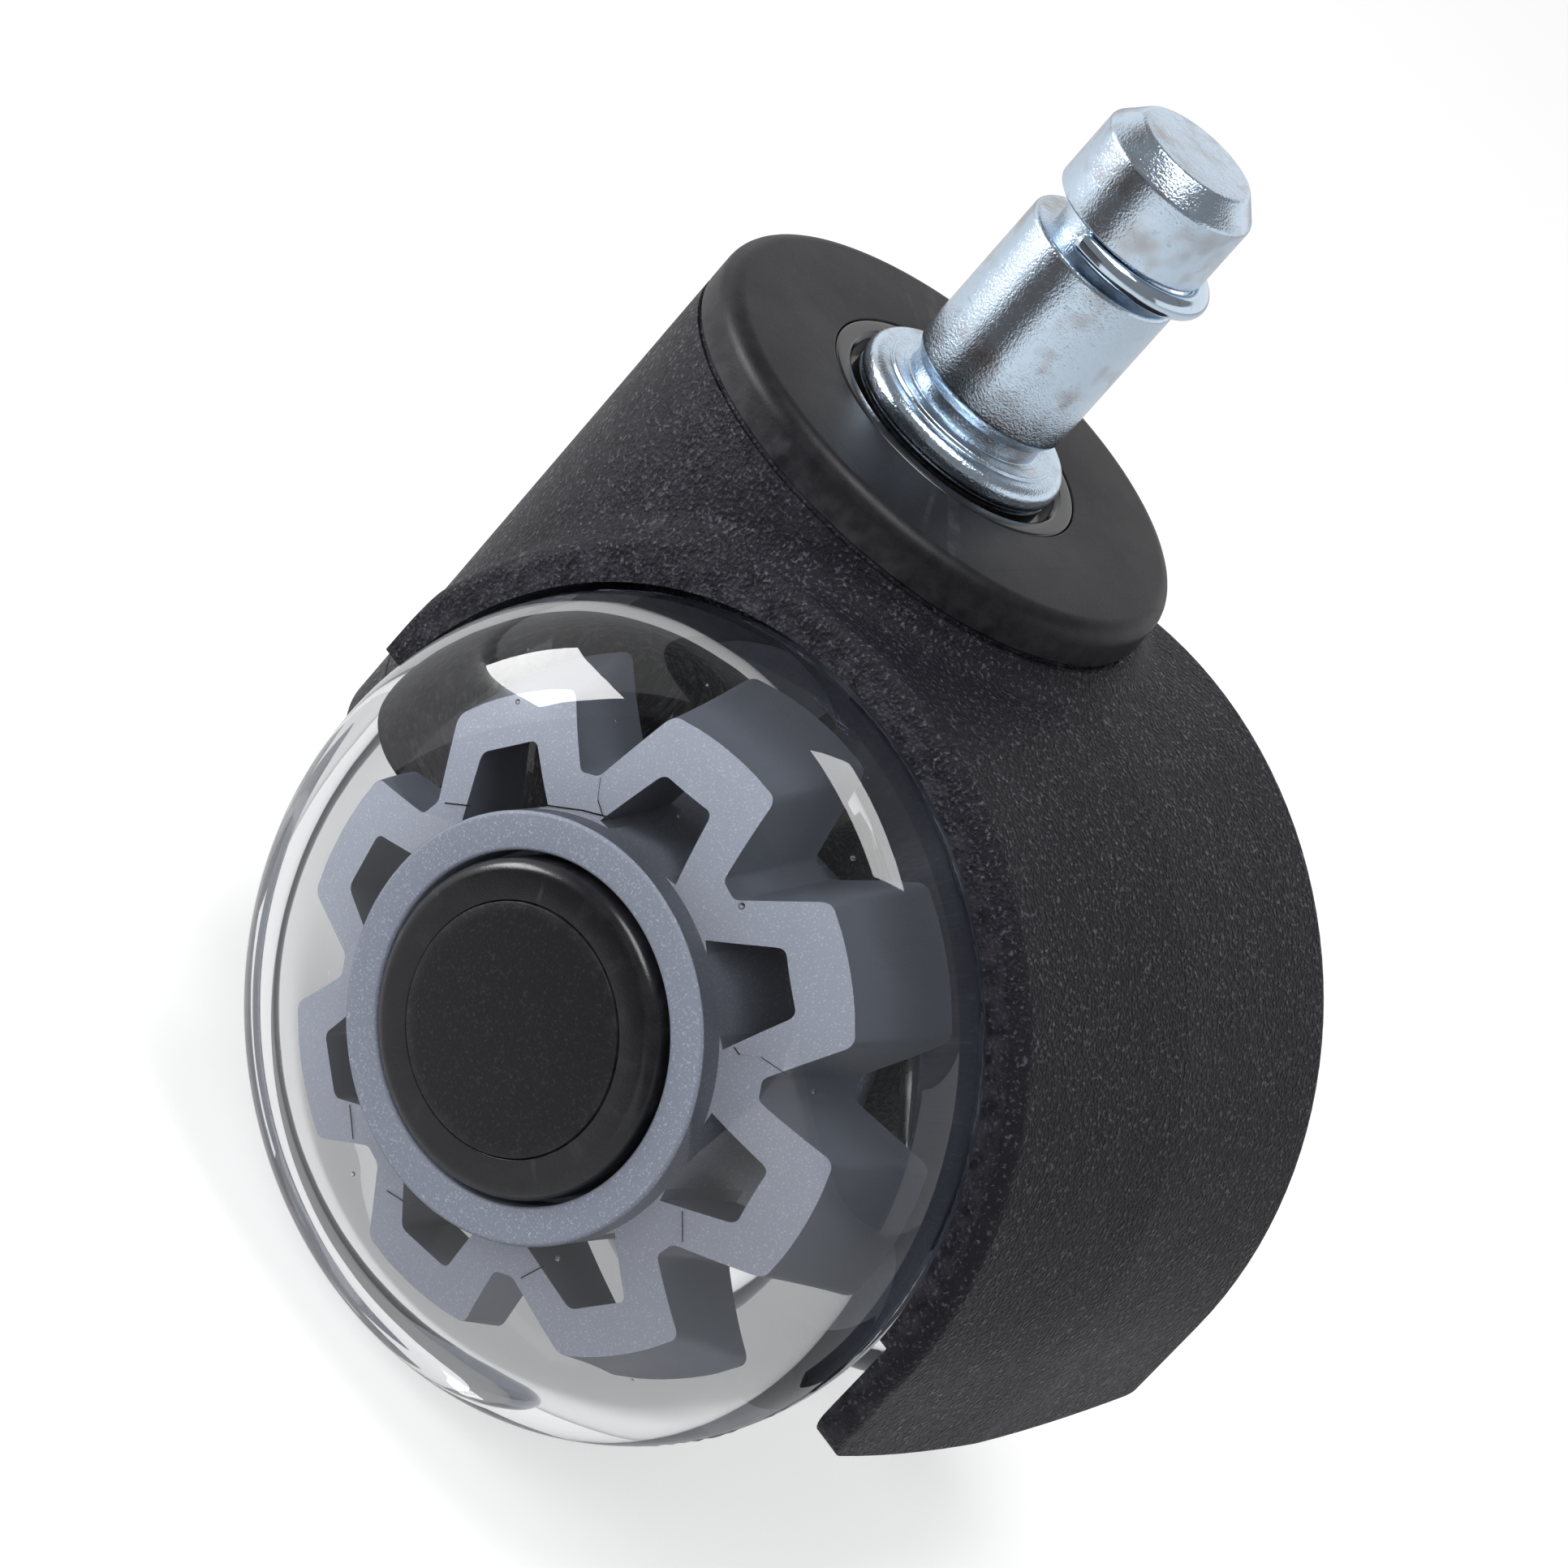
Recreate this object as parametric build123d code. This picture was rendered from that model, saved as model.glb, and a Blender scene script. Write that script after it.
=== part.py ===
from build123d import *
import math
import os

# Twin-wheel chair castor. Millimetres, +Z up, the tail of the hood towards +X, the axle along Y.
# The origin is on the stem axis, at the top of the stem's flange, where the chair base rests.

# Swivel stem
stem_r = 5.5
stem_length = 22.0
stem_end_r = 4.1
stem_end_drop = 1.6
stem_edge_round = 0.35
groove_floor_r = 3.9
head_length = 8.85
groove_width = 2.3
neck_r = 4.95
neck_height = 1.1
relief_r = 5.6
relief_depth = 0.25
flange_rim = 1.28
flange_thickness = 2.0
flange_round = 0.6
flange_step_r = 6.25
flange_step = 0.25
journal_r = 4.5
journal_length = 26.4
journal_chamfer = 0.8

# Split ring that grips the socket, sprung to one side in its groove
grip_wire_r = 0.8
grip_mean_r = 5.15
grip_shift = 0.75
grip_azimuth = 22.5
grip_opening = 125.0
grip_seat_gap = 0.05

# Spring clip that keeps the stem in the boss
clip_thickness = 0.8
clip_outer_r = 5.6
clip_depth = 0.9
clip_opening = 70.0
clip_gap = 0.1

# Thrust washer and bush
washer_thickness = 0.9
washer_inset = 0.13
washer_bore_gap = 0.15
washer_gap = 0.05
bush_rim_wall = 1.38
bush_recess_gap = 0.42
bush_rim_chamfer = 0.3
bush_sleeve_r = 6.9
bush_length = 20.6
journal_clearance = 0.05

# Boss of the housing and its cap
boss_inset = 1.14
cap_face_z = -1.86
cap_thickness = 3.16
cap_edge_round = 1.25
cap_spigot_inset = 3.0
cap_spigot_wall = 1.8
cap_spigot_depth = 1.6
seam_groove = 0.22
boss_below_axle = 3.0
boss_wall = 2.2
pocket_roof_z = -13.0
pocket_corner_r = 0.8
pocket_corner_share = 0.3
boss_bottom_round = 0.6
tower_wall = 2.0
tower_floor = 1.6

# Hood, whose outer face follows the wheels
wheel_ahead = 8.93
hood_top_drop = 6.58
hood_crown = 0.36
wheel_gap = 0.53
hood_past_widest = 0.34
rim_round = 1.1
hood_wall = 1.95
lip_height = 0.65
lip_depth = 1.6
lip_end_above_axle = 1.2
front_wall = 0.69
front_end_above_axle = 3.0
tail_drop = 8.2
tail_rise_at_rim = 1.7
tail_corner_round = 2.2
web_half = 4.0
blend_r = 2.6

# Axle, its boss in the web and its washers and clips
axle_r = 3.0
axle_past_ledge = 0.7
axle_chamfer = 0.5
axle_boss_r = 6.4
axle_boss_half = 8.2
web_under_axle = 9.0
web_rib_thickness = 1.8
web_rib_half = 6.6
web_rib_angles = (35, 75, 115)
axle_washer_r = 5.4
axle_washer_thickness = 0.8
axle_washer_gap = 0.1
push_clip_r = 5.0
push_clip_thickness = 0.7
push_clip_gap = 0.25
push_clip_teeth = 6
push_clip_slot = 0.8
push_clip_slot_depth = 1.0
axle_tip_proud = 0.1

# Wheel core
hub_ring_r = 13.13
hub_ring_bore_r = 10.72
hub_ring_depth = 3.48
hub_ring_round = 0.25
cap_ledge_y = 25.0
cap_ledge_r = 9.2
core_back_y = 11.0
hub_tube_r = 5.6
hub_tube_gap = 0.06
axle_clearance = 0.05
core_plate_y = 15.0
core_plate_thickness = 2.4
core_spoke_thickness = 1.8
lobe_count = 8
lobe_phase = 12.1
lobe_face_depth = 5.27
lobe_face_r = 17.0
lobe_face_fall = 0.69
lobe_back_y = 12.4
lobe_tip_r = 19.26
lobe_tip_half = 4.0
lobe_root_half = 5.38
lobe_root_r = 14.0
lobe_round = 0.8
valley_round = 0.6
valley_r = 15.36
slot_tip_r = 16.7
slot_tip_half = 1.98
slot_root_half = 3.2
slot_round = 0.6

# Clear tread moulded over the core
tread_r = 26.13
tread_widest_y = 18.3
tread_below_ring = 0.18
tread_face_pull = 8.4
tread_side_pull = 5.7
tread_back_y = 11.3
tread_back_round = 7.0

# Hub cap and the disc set in it
hub_cap_r = 10.35
hub_cap_proud = 0.95
hub_cap_edge_round = 1.0
hub_cap_wall = 1.5
hub_cap_face = 2.1
disc_r = 7.72
disc_thickness = 1.1
disc_fit = 0.03
disc_dome = 0.35
disc_edge_proud = 0.12

# How far shapes of one piece run into each other, and how close two places count as the same
overlap = 0.5
same = 0.01

groove_bottom_z = stem_length - head_length
flange_r = flange_step_r + flange_rim
washer_r = flange_r - washer_inset
bush_recess_r = flange_r + bush_recess_gap
bush_rim_r = bush_recess_r + bush_rim_wall
hood_half_width = tread_widest_y + hood_past_widest
boss_r = hood_half_width - boss_inset
cap_spigot_r = boss_r - cap_spigot_inset
axle_x = tread_r - wheel_ahead
lip_r = tread_r + wheel_gap
cavity_r = lip_r + lip_height
hood_rim_r = cavity_r + hood_wall
hood_mid_r = hood_rim_r + hood_crown
front_face_x = cavity_r + front_wall
axle_drop = hood_mid_r + hood_top_drop
axle_z = -axle_drop
axle_half_length = cap_ledge_y + axle_past_ledge
hub_face_y = cap_ledge_y + hub_ring_depth
tread_face_y = hub_face_y - tread_below_ring
lobe_front_y = tread_face_y - lobe_face_depth
cap_seam_z = cap_face_z - cap_thickness
washer_floor_z = -flange_thickness - washer_gap - washer_thickness
bush_end_z = cap_seam_z - bush_length
journal_end_z = -flange_thickness - journal_length
tower_r = bush_sleeve_r + tower_wall
tower_bottom_z = journal_end_z - clip_gap - tower_floor
boss_bottom_z = axle_z - boss_below_axle
at_axle = Location((axle_x, 0, axle_z))


def turned(points):
    """Solid of revolution about Z from (radius, height) points."""
    outline = Polyline(*[(r, 0, z) for r, z in points], close=True)
    return revolve(make_face(outline), Axis.Z)


def turned_on_axle(points):
    """Solid of revolution about Y from (radius, y) points, centred on the wheel axis."""
    outline = Polyline(*[(r, y, 0) for r, y in points], close=True)
    return revolve(make_face(outline), Axis.Y)


def tube(outer, inner, low, high):
    """Tube about Z between two heights."""
    return turned([(inner, low), (outer, low), (outer, high), (inner, high)])


def tube_on_axle(outer, inner, low, high):
    """Tube about Y between two places along the axle."""
    return turned_on_axle([(inner, low), (outer, low), (outer, high), (inner, high)])


def across(sketch, low, high):
    """Extrude a side-view sketch (x, z) along Y from low to high."""
    return extrude(Plane.XZ.offset(-low) * sketch, amount=low - high)


def circles_at(shape, radius, axis, place):
    """The circular edges of one radius at one place along an axis."""
    found = [e for e in shape.edges().filter_by(GeomType.CIRCLE) if abs(e.radius - radius) < same]
    along = {Axis.Y: lambda e: e.arc_center.Y, Axis.Z: lambda e: e.arc_center.Z}[axis]
    return [e for e in found if abs(along(e) - place) < same]


def opening_wedge(angle, azimuth, reach, low, high):
    """A wedge about Z that opens a split ring."""
    half = math.radians(angle / 2)
    far = (reach * math.cos(half), reach * math.sin(half))
    sketch = make_face(Polyline((0, 0), (far[0], -far[1]), far, close=True))
    return Rot(0, 0, azimuth) * Pos(0, 0, low) * extrude(sketch, amount=high - low)


def make_stem():
    groove_top_z = groove_bottom_z + groove_width
    clip_top_z = bush_end_z - clip_gap
    clip_low_z = clip_top_z - clip_thickness - clip_gap
    clip_floor_r = journal_r - clip_depth
    stem = turned([
        (0, journal_end_z),
        (journal_r - journal_chamfer, journal_end_z),
        (journal_r, journal_end_z + journal_chamfer),
        (journal_r, clip_low_z),
        (clip_floor_r, clip_low_z),
        (clip_floor_r, clip_top_z),
        (journal_r, clip_top_z),
        (journal_r, -flange_thickness),
        (flange_r, -flange_thickness),
        (flange_r, -flange_step),
        (flange_step_r, -flange_step),
        (flange_step_r, 0),
        (relief_r, 0),
        (neck_r, -relief_depth),
        (neck_r, neck_height),
        (stem_r, neck_height + stem_r - neck_r),
        (stem_r, groove_bottom_z),
        (groove_floor_r, groove_bottom_z),
        (groove_floor_r, groove_top_z),
        (stem_r, groove_top_z),
        (stem_r, stem_length - stem_end_drop),
        (stem_end_r, stem_length),
        (0, stem_length),
    ])
    rims = circles_at(stem, flange_r, Axis.Z, -flange_step)
    rims += circles_at(stem, flange_r, Axis.Z, -flange_thickness)
    stem = fillet(rims, flange_round)
    edges = circles_at(stem, stem_r, Axis.Z, groove_bottom_z)
    edges += circles_at(stem, stem_r, Axis.Z, groove_top_z)
    edges += circles_at(stem, stem_r, Axis.Z, stem_length - stem_end_drop)
    edges += circles_at(stem, stem_end_r, Axis.Z, stem_length)
    return fillet(edges, stem_edge_round)


def make_grip_ring():
    z = groove_bottom_z + groove_width - grip_wire_r - grip_seat_gap
    ring = Torus(grip_mean_r, grip_wire_r)
    reach = 3 * grip_mean_r
    ring -= opening_wedge(grip_opening, 180, reach, -2 * grip_wire_r, 2 * grip_wire_r)
    return Rot(0, 0, grip_azimuth) * Pos(grip_shift, 0, z) * ring


def make_stem_clip():
    top = bush_end_z - clip_gap
    inner = journal_r - clip_depth + clip_gap
    ring = tube(clip_outer_r, inner, top - clip_thickness, top)
    return ring - opening_wedge(clip_opening, 0, 3 * clip_outer_r, top - clip_thickness, top)


def make_thrust_washer():
    low = washer_floor_z
    return tube(washer_r, journal_r + washer_bore_gap, low, low + washer_thickness)


def make_stem_bush():
    bore = journal_r + journal_clearance
    bush = turned([
        (bore, bush_end_z),
        (bush_sleeve_r, bush_end_z),
        (bush_sleeve_r, cap_seam_z),
        (bush_rim_r, cap_seam_z),
        (bush_rim_r, cap_face_z),
        (bush_recess_r + bush_rim_chamfer, cap_face_z),
        (bush_recess_r, cap_face_z - bush_rim_chamfer),
        (bush_recess_r, washer_floor_z),
        (bore, washer_floor_z),
    ])
    return bush


def make_boss_cap():
    cap = tube(boss_r, bush_rim_r, cap_seam_z, cap_face_z)
    cap = fillet(circles_at(cap, boss_r, Axis.Z, cap_face_z), cap_edge_round)
    cap = chamfer(circles_at(cap, boss_r, Axis.Z, cap_seam_z), seam_groove)
    spigot_inner = cap_spigot_r - cap_spigot_wall
    return cap + tube(cap_spigot_r, spigot_inner, cap_seam_z - cap_spigot_depth, cap_seam_z)


def hood_section():
    """Half of the hood's section across the wheels, wider than the hood, as (radius, y)."""
    wide = hood_half_width + 3 * blend_r
    wide_r = hood_mid_r - (hood_mid_r - hood_rim_r) * wide / hood_half_width
    return make_face(Polyline(
        (0, -wide), (wide_r, -wide), (hood_mid_r, 0), (wide_r, wide), (0, wide), close=True))


def arch(radius, depth):
    """Side view of a wheel well: a half circle over straight sides."""
    return Circle(radius) + Pos(0, -depth / 2) * Rectangle(2 * radius, depth)


def tail_bounds():
    """Block that shapes the tail's lower edge: a shallow arc with rounded corners."""
    top = hood_mid_r
    end_z = -tail_drop + tail_rise_at_rim
    arc = ThreePointArc((-hood_half_width, end_z), (0, -tail_drop), (hood_half_width, end_z))
    sides = Polyline((hood_half_width, end_z), (hood_half_width, top),
                     (-hood_half_width, top), (-hood_half_width, end_z))
    face = make_face(Curve() + [arc, sides])
    low = [v for v in face.vertices() if v.Y < 0]
    return extrude(Plane.YZ * fillet(low, tail_corner_round), amount=2 * hood_mid_r)


def outside_boss(shape):
    """Leave the boss out of a cut."""
    return shape - tube(boss_r, 0, -3 * axle_drop, boss_r)


def housing_shell():
    """Boss, hood and tail as one closed form, before the wheel wells are cut."""
    section = hood_section()
    hood = revolve(section, Axis.Y, -180) + extrude(section, amount=-tail_drop)
    hood = at_axle * hood
    boss = tube(boss_r, 0, boss_bottom_z, boss_r)
    boss = fillet(circles_at(boss, boss_r, Axis.Z, boss_bottom_z), boss_bottom_round)
    body = hood + boss
    blend = [e for e in new_edges(hood, boss, combined=body) if e.center().Z > axle_z + front_end_above_axle]
    body = fillet(blend, blend_r)
    reach = 3 * hood_mid_r
    body &= Box(2 * reach, 2 * hood_half_width, 2 * reach)
    rim = [e for e in body.edges() if abs(abs(e.center().Y) - hood_half_width) < same]
    rim = [e for e in rim if e.center().X > axle_x - front_face_x and e.bounding_box().size.Z > rim_round]
    body = fillet(rim, rim_round)
    front = Pos(axle_x - front_face_x - reach / 2, 0, 0) * Box(reach, reach, 2 * reach)
    below = Pos(axle_x - reach / 2, 0, axle_z + front_end_above_axle - reach / 2) * Box(reach, reach, reach)
    under_tail = Pos(reach / 2, 0, -reach / 2) * Box(reach, reach, reach) - tail_bounds()
    body -= [outside_boss(front), outside_boss(below), at_axle * under_tail]
    body -= Pos(0, 0, cap_seam_z + reach / 2) * Box(2 * reach, reach, reach)
    return body - tube(2 * boss_r, boss_r - seam_groove, cap_seam_z - seam_groove, cap_seam_z)


def wheel_well(side):
    """Space that one wheel turns in, with the lip at the rim left standing."""
    depth = 2 * hood_half_width
    inner = hood_half_width - lip_depth
    well = across(arch(cavity_r, depth), web_half, inner)
    well += across(arch(lip_r, depth), inner, hood_half_width + overlap)
    below = Pos(cavity_r / 2, lip_end_above_axle - depth / 2) * Rectangle(cavity_r, depth)
    well += across(below, inner, hood_half_width + overlap)
    well = at_axle * well
    return well if side > 0 else mirror(well, Plane.XZ)


def under_web():
    """Space below the web between the wheels."""
    depth = 2 * hood_half_width
    r = web_under_axle
    path = Polyline((-r, -boss_below_axle), (-3 * boss_r, -boss_below_axle),
                    (-3 * boss_r, -depth), (cavity_r, -depth),
                    (cavity_r, lip_end_above_axle), (r, -boss_below_axle))
    arc = ThreePointArc((r, -boss_below_axle), (0, -r), (-r, -boss_below_axle))
    return at_axle * across(make_face(Curve() + [path, arc]), -web_half - overlap, web_half + overlap)


def web_ribs():
    """Ribs from the axle boss to the hood on both faces of the web."""
    length = cavity_r + overlap
    ribs = []
    for angle in web_rib_angles:
        bar = Rot(0, -angle, 0) * Pos(length / 2, 0, 0) * Box(length, 2 * web_rib_half, web_rib_thickness)
        ribs.append(at_axle * bar)
    return ribs


def front_pocket():
    """Coring of the thick front of the boss, open below."""
    back_x = axle_x - cavity_r - boss_wall
    plan = Circle(boss_r - boss_wall) & Pos(back_x - boss_r, 0) * Rectangle(2 * boss_r, 2 * boss_r)
    depth = boss_r - boss_wall + back_x
    plan = fillet(plan.vertices(), min(pocket_corner_r, pocket_corner_share * depth))
    return Pos(0, 0, boss_bottom_z) * extrude(plan, amount=pocket_roof_z - boss_bottom_z)


def make_housing():
    body = housing_shell()
    body -= [wheel_well(1), wheel_well(-1), under_web(), front_pocket()]
    tower = tube(tower_r, 0, tower_bottom_z, cap_seam_z - cap_thickness)
    axle_boss = at_axle * tube_on_axle(axle_boss_r, 0, -axle_boss_half, axle_boss_half)
    body += [tower, axle_boss, *web_ribs()]
    bush_bore = tube(bush_sleeve_r, 0, bush_end_z, cap_seam_z)
    clip_room = tube(clip_outer_r + clip_gap, 0, journal_end_z - clip_gap, bush_end_z)
    spigot_inner = cap_spigot_r - cap_spigot_wall
    spigot_seat = tube(cap_spigot_r, spigot_inner, cap_seam_z - cap_spigot_depth, cap_seam_z)
    axle_bore = at_axle * tube_on_axle(axle_r, 0, -hood_half_width, hood_half_width)
    return body - [bush_bore, clip_room, spigot_seat, axle_bore]


def make_axle():
    axle = tube_on_axle(axle_r, 0, -axle_half_length, axle_half_length)
    ends = circles_at(axle, axle_r, Axis.Y, axle_half_length)
    ends += circles_at(axle, axle_r, Axis.Y, -axle_half_length)
    return at_axle * chamfer(ends, axle_chamfer)


def make_axle_washer():
    low = axle_boss_half
    return at_axle * tube_on_axle(axle_washer_r, axle_r + axle_washer_gap, low, low + axle_washer_thickness)


def make_push_clip():
    low = push_clip_low()
    clip = tube_on_axle(push_clip_r, axle_r, low, low + push_clip_thickness)
    for step in range(push_clip_teeth):
        slot = Pos(axle_r, low + push_clip_thickness / 2, 0) * Box(
            2 * push_clip_slot_depth, 2 * push_clip_thickness, push_clip_slot)
        clip -= Rot(0, step * 360 / push_clip_teeth, 0) * slot
    return at_axle * clip


def push_clip_low():
    """Where the clip's inner face stands: clear of the wheel's hub tube."""
    return hub_tube_end() + push_clip_gap


def hub_tube_start():
    return axle_boss_half + axle_washer_thickness + hub_tube_gap


def hub_tube_end():
    return axle_half_length - axle_chamfer - push_clip_thickness - push_clip_gap - axle_tip_proud


def lobe_sketch():
    """One hollow lobe of the core in side view, pointing along +X, without its slot."""
    face = make_face(Polyline(
        (lobe_root_r, -lobe_root_half),
        (lobe_tip_r, -lobe_tip_half),
        (lobe_tip_r, lobe_tip_half),
        (lobe_root_r, lobe_root_half),
        close=True,
    )) & Circle(lobe_tip_r)
    tips = [v for v in face.vertices() if abs(math.hypot(v.X, v.Y) - lobe_tip_r) < same]
    return fillet(tips, lobe_round)


def slot_sketch():
    """The slot through a lobe."""
    face = make_face(Polyline(
        (hub_ring_r, -slot_root_half),
        (slot_tip_r, -slot_tip_half),
        (slot_tip_r, slot_tip_half),
        (hub_ring_r, slot_root_half),
        close=True,
    ))
    return fillet(face.vertices(), slot_round)


def gear_sketch():
    """The ring of lobes in side view."""
    gear = Circle(valley_r)
    for step in range(lobe_count):
        gear += Rot(0, 0, lobe_phase + step * 360 / lobe_count) * lobe_sketch()
    roots = [v for v in gear.vertices() if abs(math.hypot(v.X, v.Y) - valley_r) < same]
    gear = fillet(roots, valley_round)
    gear -= Circle(hub_ring_r - overlap)
    for step in range(lobe_count):
        gear -= Rot(0, 0, lobe_phase + step * 360 / lobe_count) * slot_sketch()
    return gear


def to_valley():
    """Turn about the axle from +X to the middle of a valley between two lobes."""
    return Rot(0, -lobe_phase - 180 / lobe_count, 0)


def lobe_face_y(radius):
    """Where the lobes' front faces stand: a cone that falls towards the tips."""
    return lobe_front_y - lobe_face_fall * (radius - lobe_face_r)


def make_lobes():
    inner = hub_ring_r - 2 * overlap
    outer = lobe_tip_r + overlap
    cone = turned_on_axle([
        (inner, lobe_back_y),
        (outer, lobe_back_y),
        (outer, lobe_face_y(outer)),
        (inner, lobe_face_y(inner)),
    ])
    return across(gear_sketch(), lobe_back_y, lobe_face_y(inner)) & (to_valley() * cone)


def make_core():
    barrel = turned_on_axle([
        (cap_ledge_r, core_back_y),
        (hub_ring_r, core_back_y),
        (hub_ring_r, hub_face_y),
        (hub_ring_bore_r, hub_face_y),
        (hub_ring_bore_r, cap_ledge_y),
        (cap_ledge_r, cap_ledge_y),
    ])
    ring_edges = circles_at(barrel, hub_ring_r, Axis.Y, hub_face_y)
    ring_edges += circles_at(barrel, hub_ring_bore_r, Axis.Y, hub_face_y)
    barrel = to_valley() * fillet(ring_edges, hub_ring_round)
    bore = axle_r + axle_clearance
    hub = tube_on_axle(hub_tube_r, bore, hub_tube_start(), hub_tube_end())
    plate = tube_on_axle(cap_ledge_r + overlap, bore, core_plate_y, core_plate_y + core_plate_thickness)
    core = barrel + [hub, plate]
    reach = (hub_tube_r + cap_ledge_r) / 2
    length = cap_ledge_r - hub_tube_r + 2 * overlap
    for step in range(lobe_count):
        turn = Rot(0, step * 360 / lobe_count, 0)
        mid_y = (core_back_y + core_plate_y) / 2
        core += turn * Pos(reach, mid_y, 0) * Box(length, core_plate_y - core_back_y, core_spoke_thickness)
    return core + make_lobes()


def tread_form():
    """The tread's outer form, before the core is taken out of it."""
    back_r = tread_r - tread_back_round
    diagonal = math.sqrt(0.5)
    outer = Bezier(
        (hub_ring_r, tread_face_y),
        (hub_ring_r + tread_face_pull, tread_face_y),
        (tread_r, tread_widest_y + tread_side_pull),
        (tread_r, tread_widest_y),
    )
    drop = tread_widest_y - tread_back_y
    inner = ThreePointArc(
        (tread_r, tread_widest_y),
        (back_r + tread_back_round * diagonal, tread_widest_y - drop * diagonal),
        (back_r, tread_back_y),
    )
    rest = Polyline((back_r, tread_back_y), (hub_ring_r, tread_back_y),
                    (hub_ring_r, tread_face_y))
    return revolve(make_face(Curve() + [outer, inner, rest]), Axis.Y)


def make_hub_cap():
    face = hub_face_y + hub_cap_proud
    cap = turned_on_axle([
        (hub_cap_r - hub_cap_wall, cap_ledge_y),
        (hub_cap_r, cap_ledge_y),
        (hub_cap_r, face),
        (disc_r + disc_fit, face),
        (disc_r + disc_fit, face - disc_thickness),
        (0, face - disc_thickness),
        (0, face - hub_cap_face),
        (hub_cap_r - hub_cap_wall, face - hub_cap_face),
    ])
    return fillet(circles_at(cap, hub_cap_r, Axis.Y, face), hub_cap_edge_round)


def make_cap_disc():
    seat = hub_face_y + hub_cap_proud - disc_thickness
    edge = hub_face_y + hub_cap_proud + disc_edge_proud
    top = edge + disc_dome
    dome_r = (disc_r ** 2 + disc_dome ** 2) / (2 * disc_dome)
    half = disc_r / 2
    half_y = top - dome_r + math.sqrt(dome_r ** 2 - half ** 2)
    dome = ThreePointArc((0, top), (half, half_y), (disc_r, edge))
    rest = Polyline((disc_r, edge), (disc_r, seat), (0, seat), (0, top))
    return revolve(make_face(Curve() + [dome, rest]), Axis.Y)


def on_both_sides(name, shape):
    """One copy for each wheel, the right one at +Y."""
    return {"right_" + name: shape, "left_" + name: mirror(shape, Plane.XZ)}


core = make_core()
tread = tread_form() - core
nodes = {
    "stem": make_stem(),
    "grip_ring": make_grip_ring(),
    "stem_clip": make_stem_clip(),
    "housing": make_housing(),
    "boss_cap": make_boss_cap(),
    "stem_bush": make_stem_bush(),
    "thrust_washer": make_thrust_washer(),
    "axle": make_axle(),
}
nodes.update(on_both_sides("axle_washer", make_axle_washer()))
nodes.update(on_both_sides("push_clip", make_push_clip()))
nodes.update(on_both_sides("wheel_core", at_axle * core))
nodes.update(on_both_sides("tread", at_axle * tread))
nodes.update(on_both_sides("hub_cap", at_axle * make_hub_cap()))
nodes.update(on_both_sides("cap_disc", at_axle * make_cap_disc()))

os.makedirs("parts", exist_ok=True)
for name, shape in nodes.items():
    export_step(shape, "parts/" + name + ".step")
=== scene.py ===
import math
import random

import bmesh
import bpy
from bpy.props import FloatProperty, FloatVectorProperty, IntProperty, PointerProperty
from mathutils import Matrix, Vector
from mathutils.geometry import interpolate_bezier, tessellate_polygon


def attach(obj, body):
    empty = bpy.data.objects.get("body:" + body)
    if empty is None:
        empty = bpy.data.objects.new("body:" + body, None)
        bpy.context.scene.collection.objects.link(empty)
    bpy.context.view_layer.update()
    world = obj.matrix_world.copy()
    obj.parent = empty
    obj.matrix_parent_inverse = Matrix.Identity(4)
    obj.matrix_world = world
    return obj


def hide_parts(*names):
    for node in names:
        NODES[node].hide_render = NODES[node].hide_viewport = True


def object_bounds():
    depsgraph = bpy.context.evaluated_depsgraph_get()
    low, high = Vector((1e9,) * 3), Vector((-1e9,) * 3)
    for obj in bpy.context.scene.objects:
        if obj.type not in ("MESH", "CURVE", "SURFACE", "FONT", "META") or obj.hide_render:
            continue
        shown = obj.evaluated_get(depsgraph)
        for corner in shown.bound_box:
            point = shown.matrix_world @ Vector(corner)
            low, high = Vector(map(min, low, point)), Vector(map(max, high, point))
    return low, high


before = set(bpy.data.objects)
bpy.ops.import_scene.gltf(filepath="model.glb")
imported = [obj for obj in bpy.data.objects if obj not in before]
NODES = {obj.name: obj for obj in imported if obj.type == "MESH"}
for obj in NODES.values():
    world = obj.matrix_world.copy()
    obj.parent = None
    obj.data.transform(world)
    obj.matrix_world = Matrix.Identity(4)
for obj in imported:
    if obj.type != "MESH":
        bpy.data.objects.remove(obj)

bl_info = {
    "name": "Chair castor looks",
    "version": (1, 0, 0),
    "blender": (4, 5, 0),
    "location": "View3D > Sidebar > Castor",
    "description": "Finished pieces, materials and a plain studio for a chair castor",
    "category": "Object",
}

CAD_BOX = [list(corner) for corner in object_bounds()]
MM = 0.001
SIDES = {"right": 1, "left": -1}
AXLE = Vector((17.2, 0, -36.2)) * MM
HARD_EDGE = 40  # degrees between faces whose edge is rounded


# Settings that a user would change

def length_prop(name, description, millimetres):
    return FloatProperty(name=name, description=description, default=millimetres * MM,
                         min=0, precision=5, unit="LENGTH", subtype="DISTANCE")


def colour_prop(name, description, value):
    return FloatVectorProperty(name=name, description=description, default=value,
                               size=3, min=0, max=1, subtype="COLOR")


def share_prop(name, description, value):
    return FloatProperty(name=name, description=description, default=value, min=0, max=1,
                         subtype="FACTOR")


def power_prop(name, description, watts):
    return FloatProperty(name=name, description=description, default=watts, min=0, unit="POWER")


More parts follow.
